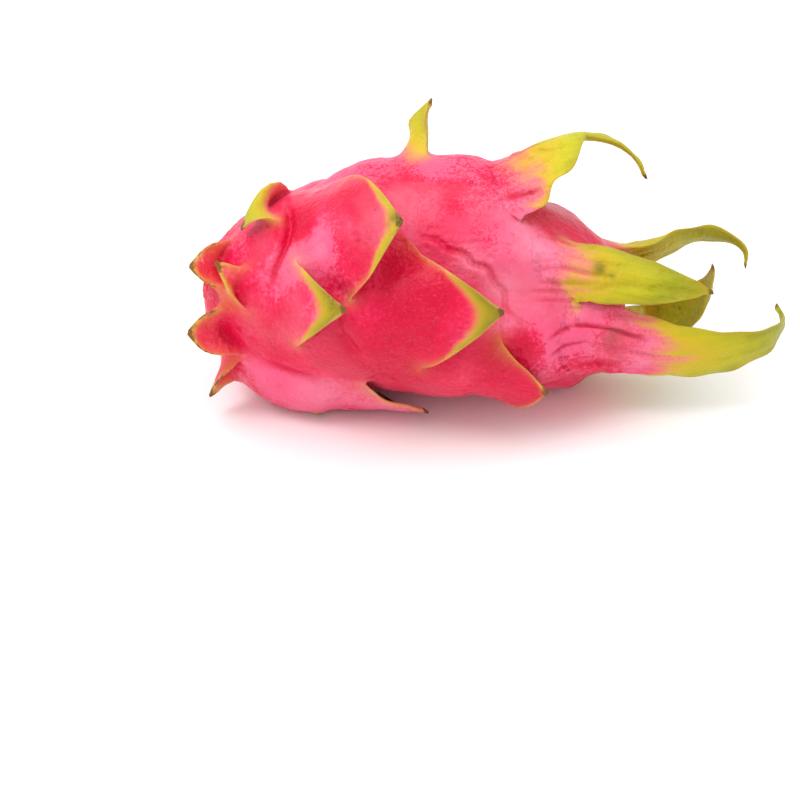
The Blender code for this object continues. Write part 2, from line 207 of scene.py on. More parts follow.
def pad(x, radius, angle):
    # the pads' height here, how red they are, and how close a crease between two of them is
    total = reds = 0.0
    highest = [0.0, 0.0]
    for scale in scales.values():
        along = x - (scale.x - pads["before"] * scale.width) * mm
        turn = (angle - math.radians(scale.angle) + math.pi) % (2 * math.pi) - math.pi
        across = max(radius, 0.3 * body["radius"]) * turn / (0.5 * scale.width * mm)
        along /= (pads["stemReach"] if along < 0.0 else pads["crownReach"]) * scale.width * mm
        if abs(along) < 3.0 and abs(across) < 3.0:
            bump = math.exp(-along * along - across * across)
            bump *= scale.width / pads["fullWidth"]
            highest = sorted((*highest, bump))[1:]
            weight = bump ** pads["sharpness"]
            total += weight
            reds += weight * scale.red
    apart = (highest[1] - highest[0]) / pads["creaseWidth"]
    crease = math.exp(-apart * apart) * smooth(highest[0] * 2.5)
    height = pads["height"] * smooth(radius / (pads["fadeShare"] * body["radius"]))
    return height * total ** (1.0 / pads["sharpness"]), reds / (total + 0.001), crease


def skinAt(x, angle):
    radius = plainRadius(x)
    return Vector((x, radius)) + outward(x, radius) * pad(x, radius, angle)[0]


def place(x, radius, angle):
    sink = body["droop"] * (1.0 - math.exp(-((x / body["droopReach"]) ** 2)))
    return Vector((x, -radius * math.cos(angle), radius * math.sin(angle) - sink))


def bodyPoint(direction):
    # a point of the skin, how red it is and how low between the pads, which sets the painted shade there
    x = direction.x * halfLength(direction.x)
    angle = math.atan2(direction.z, -direction.y)
    normal = outward(x, plainRadius(x))
    height, red, crease = pad(x, plainRadius(x), angle)
    xOut, radius = Vector((x, plainRadius(x))) + normal * height
    inwards = -normal * crease * pads["creaseDepth"]
    xOut += inwards.x
    radius += inwards.y
    fromStem = math.degrees(math.acos(max(-1.0, min(1.0, -direction.x))))
    xOut += body["stemPitDepth"] * (1.0 - smooth(fromStem / body["stemPitAngle"]))
    xOut -= body["navelDepth"] * (1.0 - smooth((180.0 - fromStem) / body["navelAngle"]))
    return place(xOut, radius, angle), red, max(crease, 0.8 - height / pads["height"])


def endFrame(side):
    # the socket's floor at one end, with Z pointing out of the fruit: -1 is the stem's
    floor = bodyPoint(Vector((side, 0.0, 0.0)))[0]
    floor.x -= side * body["socketDepth"]
    return Matrix.Translation(floor) @ Matrix.Rotation(side * math.pi / 2.0, 4, "Y")


# The stem stub's CAD box gives the place of the fruit's axis in the frame
stubLow, stubHigh = (Vector(corner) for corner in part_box("stem_stub"))
stubFloor = endFrame(-1.0).translation
origin = Vector((
    stubHigh.x + body["socketGap"] - stubFloor.x,
    (stubLow.y + stubHigh.y) / 2.0,
    (stubLow.z + stubHigh.z) / 2.0 - stubFloor.z,
))
print("axis at", [round(v * 1000, 1) for v in origin])


def heading(scale, share):
    rest = 1.0 - share
    weights = (rest**3, 3 * rest**2 * share, 3 * rest * share**2, share**3)
    return sum(w * lift for w, lift in zip(weights, scale.lifts))


def rootLength(scale):
    return min(blade["rootShare"] * scale.width, blade["longestRoot"]) * mm


def centreLine(scale, rows):
    x = scale.x * mm
    start = skinAt(x, math.radians(scale.angle))
    normal = outward(x, plainRadius(x))
    tangent = math.atan2(-normal.x, normal.y)
    length = scale.length * mm
    root = rootLength(scale)
    rootRows = max(3, round(root / blade["rowLength"]))
    dip = tangent + math.radians(scale.lifts[0] + blade["rootDip"])
    line = []
    for i in range(rootRows, 0, -1):
        back = root * i / rootRows
        spot = start - back * Vector((math.cos(dip), math.sin(dip)))
        line.append((spot.x, spot.y, dip, -back / length))
    spot = start.copy()
    fine = 4  # steps between two rows
    for i in range(rows * fine + 1):
        share = i / (rows * fine)
        turn = tangent + math.radians(heading(scale, share))
        if i % fine == 0:
            line.append((spot.x, spot.y, turn, share))
        spot += Vector((math.cos(turn), math.sin(turn))) * length / (rows * fine)
    return line


def halfWidth(scale, share):
    free = max(0.0, share)
    buried = max(0.0, -share) * scale.length * mm / rootLength(scale)
    if scale.horn:
        broad = max(0.0, 1.0 - (free / blade["hornStart"]) ** scale.taper)
        outline = (1.0 - scale.horn) * broad + scale.horn * (1.0 - free**1.6)
    else:
        outline = 1.0 - free**scale.taper
    outline += blade["flare"] * (1.0 - smooth(free / blade["flareShare"]))
    outline *= 1.0 - blade["rootNarrowing"] * smooth(buried)
    return 0.5 * max(blade["tipWidth"], scale.width * mm * outline)


def scalePoint(scale, row, across):
    x, radius, turn, share = row
    free = max(0.0, share)
    side = across * halfWidth(scale, share)
    bodyBend = 1.0 / max(plainRadius(scale.x * mm), 12.0 * mm)  # across, a scale starts as the body bends
    bend = bodyBend + (scale.cup / mm - bodyBend) * smooth(free * 1.4)
    bend = math.copysign(max(abs(bend), 1.0), bend)
    inward = (math.cos(side * bend) - 1.0) / bend
    inward -= blade["cornerDrop"] * across**2 * (1.0 - smooth(free / blade["cornerShare"]))
    phase = free * scale.length * mm / blade["waveLength"] + scale.angle + (0.4 if across > 0.0 else 0.0)
    inward += blade["wave"] * across**4 * smooth(free * 2.0) * math.sin(2.0 * math.pi * phase)
    fold = math.cos(2.0 * math.pi * side / blade["foldSpacing"] + scale.angle)
    if scale.length > blade["foldedLength"]:
        inward -= blade["foldDepth"] * (1.0 + fold) * smooth(1.0 - abs(share - 0.16) / 0.34)
    sideways = math.sin(side * bend) / bend
    angle = math.radians(scale.angle + scale.sway * free)
    twist = math.radians(scale.turn * smooth(free * 1.5))
    sine, cosine = math.sin(twist), math.cos(twist)
    rise = inward * cosine + sideways * sine
    sideways = sideways * cosine - inward * sine
    centre = place(x - math.sin(turn) * rise, radius + math.cos(turn) * rise, angle)
    return centre + Vector((0.0, math.sin(angle), math.cos(angle))) * sideways


def thickness(scale, share, across):
    middle = scale.thick * mm * (1.0 - 0.75 * smooth(max(0.0, share) * 1.1))
    if across * across > 0.98:
        return blade["edgeShare"] * blade["marginThickness"]
    return max(blade["marginThickness"], middle * (1.0 - abs(across) ** 2.2))


# What the skin's material reads at each point: how deep a red, how yellow-green, how
# near a margin, how dry, how low between the pads (for painted shade in the valleys and creases),
# whether on a scale's inner face, how far the fibres show, how much a dark spot shades it, and which way the
# fibres run
traits = ("red", "lime", "margin", "dry", "valley", "inner", "combed", "shade")


def makeBody():
    bm = bmesh.new()
    bmesh.ops.create_icosphere(bm, subdivisions=body["divisions"], radius=1.0)
    values = []
    for vertex in bm.verts:
        vertex.co, red, valley = bodyPoint(vertex.co.normalized())
        values.append((red, 0.0, 0.0, 0.0, valley, 0.0, 0.2, 0.0))
    points = [vertex.co.copy() for vertex in bm.verts]
    fibres = [(point.x, math.atan2(point.z, -point.y) * 0.03, 0.0) for point in points]
    mesh = bpy.data.meshes.new("body")
    bm.to_mesh(mesh)
    bm.free()
    return mesh, points, values, fibres


def makeScale(number, scale):
    # a closed curved sheet: its outer face, its inner face and the rim between them
    rows = max(8, round(scale.length * mm / blade["rowLength"]))
    columns = 2 * max(5, round(scale.width * mm / blade["columnWidth"] / 2.0))
    evenly = [2.0 * j / columns - 1.0 for j in range(columns + 1)]
    acrosses = [math.copysign(1.0 - (1.0 - abs(even)) ** blade["crowding"], even) for even in evenly]
    line = centreLine(scale, rows)
    combed = smooth((scale.length - blade["combedLength"]) / blade["combedFull"])
    outer, values, fibres = [], [], []
    for row in line:
        half = halfWidth(scale, row[3])
        free = max(0.0, row[3])
        dryTip = smooth((free * scale.length - scale.length + blade["dryTip"]) / blade["dryTip"])
        for across in acrosses:
            outer.append(scalePoint(scale, row, across))
            toMargin = min((1.0 - abs(across)) * half, (1.0 - free) * scale.length * mm)
            ripe = free + 0.24 * abs(across) ** 3 * smooth((free - 0.1) / 0.5)
            lime = (ripe - scale.yellow) / (scale.green - scale.yellow)
            near = math.exp(-toMargin / blade["marginBand"]) * smooth((free - 0.05) / 0.4)
            dryEdge = 0.6 * near * smooth(free * 1.6) if scale.x < blade["stemwards"] else 0.0
            values.append((scale.red, max(0.0, lime), near, max(dryTip, dryEdge), 0.0, 0.0, combed, 0.0))
            fibres.append((free * scale.length * mm, across * half, number * 0.1))
    width = columns + 1
    grid = np.array(outer).reshape(len(line), width, 3)
    normals = np.cross(np.gradient(grid, axis=0), np.gradient(grid, axis=1))
    normals /= np.linalg.norm(normals, axis=2, keepdims=True)
    thick = np.array([[thickness(scale, row[3], across) for across in acrosses] for row in line])
    thick[-1, :] = blade["edgeShare"] * blade["marginThickness"]
    if np.sum((normals * grid)[len(line) // 2, :, 1:]) < 0.0:  # they have to point away from the axis
        normals = -normals
    inner = (grid - normals * thick[:, :, None]).reshape(-1, 3)
    count = len(outer)
    faces = []
    for i in range(len(line) - 1):
        for j in range(columns):
            a = i * width + j
            faces.append((a, a + 1, a + width + 1, a + width))
            faces.append((count + a + width, count + a + width + 1, count + a + 1, count + a))
    ids = np.arange(count).reshape(len(line), width)
    rim = [*ids[0], *ids[1:, -1], *ids[-1, -2::-1], *ids[-2:0:-1, 0]]
    for a, b in zip(rim, rim[1:] + rim[:1]):
        faces.append((b, a, count + a, count + b))
    points = outer + [Vector(p) for p in inner]
    values += [(*v[:5], 1.0, *v[6:]) for v in values]  # the inner face
    fibres += fibres
    mesh = bpy.data.meshes.new("scale")
    mesh.from_pydata(points, [], faces)
    bm = bmesh.new()
    bm.from_mesh(mesh)
    bmesh.ops.recalc_face_normals(bm, faces=bm.faces[:])
    bm.to_mesh(mesh)
    bm.free()
    return mesh, points, values, fibres


def looseObject(mesh, collection):
    obj = bpy.data.objects.new(mesh.name, mesh)
    collection.objects.link(obj)
    return obj


def applyModifiers(obj):
    graph = bpy.context.evaluated_depsgraph_get()
    mesh = bpy.data.meshes.new_from_object(obj.evaluated_get(graph))
    obj.modifiers.clear()
    obj.data = mesh


def fuse(obj, others):
    union = obj.modifiers.new("others", "BOOLEAN")
    union.operand_type = "COLLECTION"
    union.collection = others
    union.operation = "UNION"
    union.solver = "MANIFOLD"
    applyModifiers(obj)
    for other in list(others.objects):
        bpy.data.objects.remove(other)
    bpy.data.collections.remove(others)


def largestShell(mesh):
    bm = bmesh.new()
    bm.from_mesh(mesh)
    bmesh.ops.remove_doubles(bm, verts=bm.verts, dist=0.00001)
    unseen = set(bm.faces)
    shells = []
    while unseen:
        shell = []
        border = [unseen.pop()]
        while border:
            face = border.pop()
            shell.append(face)
            beside = {other for edge in face.edges for other in edge.link_faces} & unseen
            unseen -= beside
            border += beside
        shells.append(shell)
    shells.sort(key=len)
    for shell in shells[:-1]:
        bmesh.ops.delete(bm, geom=shell, context="FACES")
    bmesh.ops.triangulate(bm, faces=bm.faces[:])
    bm.to_mesh(mesh)
    bm.free()


# Creases of the skin, each with its depth and width in millimetres and the places
# in the photograph that it runs through, as columns and rows of pixels
creases = {
    "behindFlap": (2.9, 1.3, ((286, 200), (290, 223), (284, 248), (274, 271), (269, 290))),
    "leftOfBroad": (2.2, 1.9, ((350, 292), (339, 289), (331, 299), (336, 324), (352, 349), (378, 370))),
    "besideBroad": (1.7, 1.0, ((422, 236), (437, 240), (449, 249), (463, 253), (473, 264), (487, 268),
                               (494, 282), (504, 292), (506, 309), (516, 318), (520, 328))),
    "hoodFold": (2.9, 1.4, ((505, 198), (519, 194), (540, 190), (561, 188))),
    "hoodRoot": (0.9, 2.2, ((460, 162), (481, 173), (500, 184), (509, 198))),
    "lowCrease": (3.0, 0.8, ((578, 326), (598, 327), (620, 332), (634, 336), (650, 341))),
    "lowWrinkle": (1.3, 0.9, ((550, 357), (569, 346), (594, 344), (615, 349))),
    "lowWrinkle2": (1.1, 0.9, ((548, 340), (565, 329), (584, 324), (607, 325))),
    "lowWrinkle3": (1.2, 0.8, ((561, 370), (582, 359), (607, 358))),
    "tongueWrinkle": (1.3, 0.8, ((536, 270), (561, 268), (590, 274), (615, 277))),
    "tongueWrinkle2": (1.2, 0.7, ((540, 283), (565, 283), (594, 285))),
    "tongueWrinkle3": (1.1, 0.7, ((546, 256), (569, 256), (594, 261), (628, 267))),
    "tongueWrinkle4": (0.9, 0.7, ((530, 263), (548, 261), (568, 259))),
    "tongueWrinkle5": (0.9, 0.7, ((532, 291), (552, 291), (574, 295))),
    "tongueWrinkle6": (0.8, 0.7, ((537, 301), (558, 300), (582, 302))),
    "tongueFold": (1.3, 1.3, ((590, 290), (624, 285), (657, 288), (687, 292))),
    "lowWrinkle4": (1.1, 0.8, ((552, 380), (575, 368), (600, 364), (632, 367))),
    "lowWrinkle5": (1.1, 0.7, ((596, 338), (620, 347), (645, 354), (668, 357))),
    "topLine": (0.8, 1.8, ((400, 161), (405, 181), (404, 202), (402, 223))),
    "hornLine": (1.3, 1.0, ((506, 155), (531, 150), (557, 147), (577, 142))),
}
marks = {  # dark spots: a place in the photograph, the radius in millimetres, how dark
    "tongueSpot": (600, 268, 2.0, 0.75),
    "tongueSpot2": (612, 276, 1.2, 0.4),
    "lowSpot": (612, 338, 2.6, 0.35),
    "broadScar": (396, 218, 1.5, 0.9),
}
tints = {  # flushes and bloom: a place in the photograph, the radius in millimetres, how red
    "upperLeft": (296, 221, 5.0, 0.6),
    "upperMiddle": (340, 198, 5.0, 0.45),
    "upperBloom": (298, 263, 5.0, -0.9),
    "upperBloom2": (322, 251, 5.0, -0.9),
    "upperFlush": (300, 233, 4.0, 0.5),
    "flank": (408, 186, 6.0, 0.35),
    "flankRough": (450, 203, 6.0, 0.35),
    "flankLow": (430, 232, 7.0, 0.2),
    "hoodShade": (553, 225, 7.0, 1.5),
    "flankRash": (455, 185, 4.5, 0.4),
    "behindHood": (582, 232, 8.0, 1.3),
    "tongueBloom": (530, 243, 8.0, -0.7),
    "ridgeBloom": (470, 262, 5.0, -0.5),
    "besideTip": (500, 285, 5.0, -0.3),
    "broadDeep": (430, 285, 8.0, 0.4),
    "rootDeep": (520, 345, 6.0, 0.4),
}
camera = {
    "frame": 800.0,
    "distance": 1.0,
    "elevation": 32.0,
    "pixel": 0.30 * mm,  # what one pixel of the photograph covers at the fruit
    "axisColumn": 412.0,  # where the photograph shows the fruit's widest place
    "tableAhead": 9.4 * mm,
}


def cameraSpot():
    tilt = math.radians(camera["elevation"])
    back = Vector((0.0, -math.cos(tilt), math.sin(tilt)))
    side = (camera["frame"] / 2.0 - camera["axisColumn"]) * camera["pixel"]
    aim = Vector((origin.x + side, origin.y - camera["tableAhead"], 0.0))
    return aim + back * camera["distance"], back


def seenAt(surface, column, row):
    # the point of the surface that shows at this pixel of the photograph
    spot, back = cameraSpot()
    up = Vector((0.0, back.z, -back.y))
    middle = camera["frame"] / 2.0
    ray = Vector(((column - middle) * camera["pixel"], 0.0, 0.0)) + up * (middle - row) * camera["pixel"]
    ray -= back * camera["distance"]
    return surface.ray_cast(spot - origin, ray.normalized())[0]


def smoothLine(points, step):
    # a Catmull-Rom curve through the points, with a point every step
    ends = [points[0] * 2.0 - points[1]] + points + [points[-1] * 2.0 - points[-2]]
    line = []
    for before, start, end, after in zip(ends, ends[1:], ends[2:], ends[3:]):
        parts = max(1, round((end - start).length / step))
        for k in range(parts):
            t = k / parts
            line.append(0.5 * (2.0 * start + (end - before) * t
                               + (2.0 * before - 5.0 * start + 4.0 * end - after) * t * t
                               + (3.0 * start - before - 3.0 * end + after) * t ** 3))
    return line + [points[-1]]


def crossings(surface, places):
    found = [seenAt(surface, column, row) for column, row in places]
    return smoothLine([spot for spot in found if spot], sculpting["step"])


def treeOf(places):
    tree = kdtree.KDTree(len(places))
    for index, spot in enumerate(places):
        tree.insert(spot, index)
    tree.balance()
    return tree


def surfaceOf(mesh):
    return bvhtree.BVHTree.FromPolygons([vertex.co for vertex in mesh.vertices],
                                        [tuple(face.vertices) for face in mesh.polygons])


def arrayOf(items, name, width, kind=float):
    data = np.empty(len(items) * width, dtype=kind)
    items.foreach_get(name, data)
    return data.reshape(-1, width)


def refine(mesh, lines):
    # shorter edges along the creases, so that they show as shape
    near = treeOf([spot for line in lines for spot in line])
    bm = bmesh.new()
    bm.from_mesh(mesh)
    for _ in range(2):
        chosen = [edge for edge in bm.edges if edge.calc_length() > sculpting["finest"]
                  and near.find((edge.verts[0].co + edge.verts[1].co) / 2.0)[2] < sculpting["fineReach"]]
        bmesh.ops.subdivide_edges(bm, edges=chosen, cuts=1, use_grid_fill=True)
        bmesh.ops.triangulate(bm, faces=[face for face in bm.faces if len(face.verts) > 3])
    bm.to_mesh(mesh)
    bm.free()


def blend(data, edges, weight, times):
    # draws what each vertex holds towards its neighbours'
    neighbours = np.bincount(edges.ravel(), minlength=len(data))[:, None]
    for _ in range(times):
        total = np.zeros_like(data)
        np.add.at(total, edges[:, 0], data[edges[:, 1]])
        np.add.at(total, edges[:, 1], data[edges[:, 0]])
        data += weight[:, None] * (total / neighbours - data)


def around(surface, vertices, reach, column, row, radius):
    # the vertices round a place in the photograph, with how much of its mark each takes
    spot = seenAt(surface, column, row)
    for _, vertex, distance in vertices.find_range(spot, reach * radius * mm) if spot else ():
        yield vertex, math.exp(-((distance / (radius * mm)) ** 2))


sculpting = {
    "step": 0.7 * mm,  # between the points of a crease
    "finest": 0.62 * mm,  # edges near the creases are split down to this
    "fineReach": 1.6 * mm,
    "roundReach": 2.6 * mm,  # how far from its root a scale is rounded into the skin
    "roundTimes": 30,
    "colourReach": 4.0 * mm,  # how far from there the colours run into each other
    "colourTimes": 40,
    "strength": 0.5,
    "unevenness": {12.0: 0.6, 5.0: 0.3, 2.2: 0.1},  # bumps: their size and height in millimetres
    "wrinkledSize": 22.0 * mm,  # of the wrinkled patches
    "wrinkles": (9.0 * mm, 2.2 * mm, 1.0),  # their length and spacing, along the fibres and across
}

print("shaping the fruit")
skinPieces = bpy.data.collections.new("fruitPieces")
scene.collection.children.link(skinPieces)
bodyMesh, points, values, fibres = makeBody()
fruit = looseObject(bodyMesh, scene.collection)
fruit.name = "dragonFruit"
pieceOf = [0] * len(points)
for number, scale in enumerate(scales.values(), start=1):
    mesh, morePoints, moreValues, moreFibres = makeScale(number, scale)
    looseObject(mesh, skinPieces)
    points += morePoints
    values += moreValues
    fibres += moreFibres
    pieceOf += [number] * len(morePoints)
fuse(fruit, skinPieces)
mesh = fruit.data
print("joined", len(mesh.polygons))
largestShell(mesh)
surface = surfaceOf(mesh)
refine(mesh, [crossings(surface, places) for _, _, places in creases.values()])
print("fruit triangles", len(mesh.polygons))

tree = treeOf(points)
source = [tree.find(vertex.co)[1] for vertex in mesh.vertices]
values, fibres, pieceOf = (np.array(kept)[source] for kept in (values, fibres, pieceOf))
traitAt = {name: index for index, name in enumerate(traits)}
spots = arrayOf(mesh.vertices, "co", 3)
edges = arrayOf(mesh.edges, "vertices", 2, int)
seam = np.unique(edges[pieceOf[edges[:, 0]] != pieceOf[edges[:, 1]]])
seamTree = treeOf(spots[seam])
toSeam = np.array([seamTree.find(spot)[2] for spot in spots])

# The creases at the scales' roots are rounded as flesh is, away from the thin margins,
# and the colours run into each other there too
thin = np.clip(values[:, traitAt["margin"]], 0.0, 1.0)
keptSharp = thin * np.clip((toSeam - 0.4 * mm) / (1.6 * mm), 0.0, 1.0)
rounded = sculpting["strength"] * np.exp(-((toSeam / sculpting["roundReach"]) ** 2)) * (1.0 - keptSharp)
blend(spots, edges, rounded, sculpting["roundTimes"])
softened = sculpting["strength"] * np.exp(-((toSeam / sculpting["colourReach"]) ** 2)) * (1.0 - thin)
blend(values, edges, softened, sculpting["colourTimes"])
mesh.vertices.foreach_set("co", spots.ravel())
mesh.update()
print("roots rounded")

vertexTree = treeOf(spots)
surface = surfaceOf(mesh)
sunk = np.zeros(len(spots))
for depth, width, places in creases.values():
    line = crossings(surface, places)
    near = {}
    for index, spot in enumerate(line):
        for _, vertex, distance in vertexTree.find_range(spot, 3.0 * width * mm):
            if distance < near.get(vertex, (1.0, 0))[0]:
                near[vertex] = (distance, index)
    for vertex, (distance, index) in near.items():
        across = distance / (width * mm)
        fade = math.sin(math.pi * (index + 0.5) / len(line)) ** 0.5  # a crease fades at its ends
        sunk[vertex] += fade * depth * (math.exp(-across**2) - 0.3 * math.exp(-((across / 2.2) ** 2)))
# the creases also darken the skin's colour there, as painted shade
red, valley, shade = (values[:, traitAt[name]] for name in ("red", "valley", "shade"))
valley[:] = np.clip(valley + 0.9 * np.clip(sunk, 0.0, 1.2), 0.0, 1.2)
for *placed, dark in marks.values():
    for vertex, share in around(surface, vertexTree, 2.5, *placed):
        shade[vertex] = max(shade[vertex], dark * share)
for *placed, redder in tints.values():
    for vertex, share in around(surface, vertexTree, 2.2, *placed):
        red[vertex] += redder * share

uneven = np.array([sum(height * noise.noise(Vector(spot) / (size * mm))
                       for size, height in sculpting["unevenness"].items()) for spot in spots])
fresh = np.array([noise.noise(Vector(spot) / sculpting["wrinkledSize"] + Vector((5.0, 1.0, 2.0)))
                  for spot in spots])
wrinkles = np.array([noise.noise(Vector(spot)) for spot in fibres / np.array(sculpting["wrinkles"])])
wrinkled = np.clip(1.2 * fresh, 0.0, 1.0) * np.clip(1.0 - 3.0 * np.abs(wrinkles), 0.0, 1.0)
uneven -= pads["wrinkleDepth"] / mm * wrinkled + sunk
spots += arrayOf(mesh.vertices, "normal", 3) * (uneven * (1.0 - 0.8 * thin) * mm)[:, None]
spots += np.array(origin)
spots[:, 2] = np.maximum(spots[:, 2], 0.0)  # the table presses it flat
mesh.vertices.foreach_set("co", spots.ravel())
mesh.update()
for name, index in traitAt.items():
    layer = mesh.attributes.new(name, "FLOAT", "POINT")
    layer.data.foreach_set("value", values[:, index].astype(np.float32))
layer = mesh.attributes.new("fibres", "FLOAT_VECTOR", "POINT")
layer.data.foreach_set("vector", fibres.astype(np.float32).ravel())
mesh.shade_smooth()


# Materials

def linear(hexColour):
    parts = [int(hexColour[i:i + 2], 16) / 255.0 for i in (1, 3, 5)]
    return tuple(p / 12.92 if p <= 0.04045 else ((p + 0.055) / 1.055) ** 2.4 for p in parts) + (1.0,)


def addNode(tree, kind, settings=None, inputs=None, output=0):
    # adds a node, fills its settings, a ramp's stops and its inputs, and gives an output
    node = tree.nodes.new(kind)
    for key, value in (settings or {}).items():
        if key == "stops":
            elements = node.color_ramp.elements
            while len(elements) < len(value):
                elements.new(0.5)
            for element, (position, shade) in zip(elements, value):
                element.position = position
                element.color = linear(shade) if isinstance(shade, str) else (shade, shade, shade, 1.0)
        else:
            holder, _, setting = key.rpartition(".")
            setattr(getattr(node, holder) if holder else node, setting, value)
    for key, value in (inputs or {}).items():
        if isinstance(value, bpy.types.NodeSocket):
            tree.links.new(value, node.inputs[key])
        else:
            node.inputs[key].default_value = value
    return node.outputs[output]


def newMaterial(name):
    material = bpy.data.materials.new(name)
    material.use_nodes = True
    return material, material.node_tree, material.node_tree.nodes["Principled BSDF"]


mathNode = "ShaderNodeMath"
rampNode = "ShaderNodeValToRGB"
noiseNode = "ShaderNodeTexNoise"
mixNode = "ShaderNodeMix"
multiply = {"operation": "MULTIPLY"}
multiplyAdd = {"operation": "MULTIPLY_ADD"}
mixColours = {"data_type": "RGBA"}

skinLook = {
    "pinks": ((0.0, "#ea5880"), (0.24, "#e2204f"), (0.48, "#d8063f"), (0.72, "#cc0236")),
    "pale": "#ea5880",
    # the painted shade in the valleys and creases
    "deep": "#d8063f",
    "bloom": "#f4a2b8",  # the dusty wax on the skin
    "freckle": "#9c0a34",
    "greens": ((0.0, "#e8705f"), (0.16, "#e39a58"), (0.34, "#d6b726"), (0.62, "#cbc41c"), (1.0, "#b1b118")),
    "olive": "#76680a",  # the green of a scale that is deep red
    "leaf": "#7f9216",  # patches on the long scales of the crown
    "margin": "#cfae4a",
    "dry": "#6e4e24",
    "spot": "#4d4612",
    "mottleSize": 20.0,  # millimetres
    "bloomSize": 30.0,
    "grainSize": 1.3,
    "speckleSize": 0.8,
    "poreSize": 5.0,
    "fibreSize": 1.5,
    "roughness": 0.36,
}


def makeSkin():
    # dragon fruit skin: thick waxy rind, satin rather than glossy, pink where it is ripe,
    # green at the scales' tips, with a dusty bloom, fine grain, a few dark pores and painted shade in the
    # valleys and creases
    material, tree, shader = newMaterial("waxyFruitRind")
    add = partial(addNode, tree)
    where = add("ShaderNodeTexCoord", output="Object")
    fibre = add("ShaderNodeAttribute", {"attribute_name": "fibres"}, output="Vector")
    red, lime, margin, dry, valley, inner, combed, shade = (
        add("ShaderNodeAttribute", {"attribute_name": name}, output="Fac") for name in traits
    )
    speckle, mottle, grain = (
        add(noiseNode, None, {"Vector": where, "Scale": 1000.0 / skinLook[size], "Detail": detail})
        for size, detail in (("speckleSize", 1.0), ("mottleSize", 4.0), ("grainSize", 2.0))
    )
    patch = add(noiseNode, {"noise_dimensions": "4D"},
                {"Vector": where, "W": 3.0, "Scale": 1000.0 / skinLook["bloomSize"], "Detail": 4.0})
    pores = add("ShaderNodeTexVoronoi", None,
                {"Vector": where, "Scale": 1000.0 / skinLook["poreSize"]}, "Distance")
    combing = add("ShaderNodeMapping", None, {"Vector": fibre, "Scale": (0.1, 1.0, 1.0)})
    streak = add(noiseNode, None, {"Vector": combing, "Scale": 1000.0 / skinLook["fibreSize"], "Detail": 3.0})

    # the pinks: each scale's own depth, mottled and grained, with a speckled rash
    rash = add(rampNode, {"stops": ((0.4, 0.1), (0.55, 1.0))}, {"Fac": mottle})
    dotted = add(rampNode, {"stops": ((0.48, 0.0), (0.62, 1.0))}, {"Fac": speckle})
    rash = add(mathNode, multiply, {0: rash, 1: dotted})
    depth = -0.75
    for source, amount in ((mottle, 1.5), (red, 0.75), (grain, 0.7), (rash, 0.4)):
        depth = add(mathNode, multiplyAdd, {0: source, 1: amount, 2: depth})
    depth = add(mathNode, {"operation": "SUBTRACT", "use_clamp": True}, {0: depth, 1: 0.53})
    pink = add(rampNode, {"stops": skinLook["pinks"]}, {"Fac": depth})

    # painted shade: a deeper red in the valleys and creases; then dusty and milky with bloom, flecked and
    # freckled
    low = add(rampNode, {"stops": ((0.25, 0.0), (0.9, 0.9))}, {"Fac": valley})
    dusty = add(rampNode, {"stops": ((0.47, 0.0), (0.7, 0.5))}, {"Fac": patch})
    clear = add(rampNode, {"stops": ((0.3, 1.0), (0.9, 0.25))}, {"Fac": red})
    dusty = add(mathNode, multiply, {0: dusty, 1: clear})
    milky = add(mathNode, {"operation": "MULTIPLY", "use_clamp": True}, {0: red, 1: -0.9})
    milky = add(mathNode, multiply, {0: milky, 1: speckle})
    dusty = add(mathNode, multiplyAdd, {0: milky, 1: 1.6, 2: dusty})
    flecks = add(rampNode, {"stops": ((0.56, 0.0), (0.75, 0.25))}, {"Fac": speckle})
    specks = add(rampNode, {"stops": ((0.04, 0.6), (0.09, 0.0))}, {"Fac": pores})
    freckled = add(rampNode, {"stops": ((0.45, 0.0), (0.6, 1.0))}, {"Fac": mottle})
    specks = add(mathNode, multiply, {0: specks, 1: freckled})
    for share, name in ((low, "deep"), (dusty, "bloom"), (flecks, "pale"), (specks, "freckle")):
        pink = add(mixNode, mixColours, {0: share, 6: pink, 7: linear(skinLook[name])}, 2)

    # the greens come in along the fibres, olive on deep red scales, with leaf-green patches on the crown
    strand = add(mathNode, {"operation": "SUBTRACT"}, {0: streak, 1: 0.5})
    strand = add(mathNode, multiply, {0: strand, 1: combed})
    turning = lime
    for source, amount in ((mottle, 0.7), (strand, 0.45)):
        turning = add(mathNode, multiplyAdd, {0: source, 1: amount, 2: turning})
    turning = add(mathNode, {"operation": "SUBTRACT", "use_clamp": True}, {0: turning, 1: 0.33})
    greens = add(rampNode, {"stops": skinLook["greens"]}, {"Fac": turning})
    ripe = add(mathNode, multiply, {0: red, 1: turning})
    ripe = add(mathNode, {"operation": "MULTIPLY", "use_clamp": True}, {0: ripe, 1: 1.5})
    leafy = add(rampNode, {"stops": ((0.48, 0.0), (0.62, 1.0))}, {"Fac": patch})
    leafy = add(mathNode, multiply, {0: leafy, 1: combed})
    grown = add(rampNode, {"stops": ((0.5, 0.0), (0.95, 0.8))}, {"Fac": turning})
    leafy = add(mathNode, multiply, {0: leafy, 1: grown})
    for share, name in ((ripe, "olive"), (leafy, "leaf")):
        greens = add(mixNode, mixColours, {0: share, 6: greens, 7: linear(skinLook[name])}, 2)
    share = add(rampNode, {"stops": ((0.0, 0.0), (0.32, 1.0)), "color_ramp.interpolation": "EASE"},
                {"Fac": turning})
    started = add(rampNode, {"stops": ((0.0, 0.0), (0.1, 1.0))}, {"Fac": lime})
    share = add(mathNode, multiply, {0: share, 1: started})
    colour = add(mixNode, mixColours, {0: share, 6: pink, 7: greens}, 2)

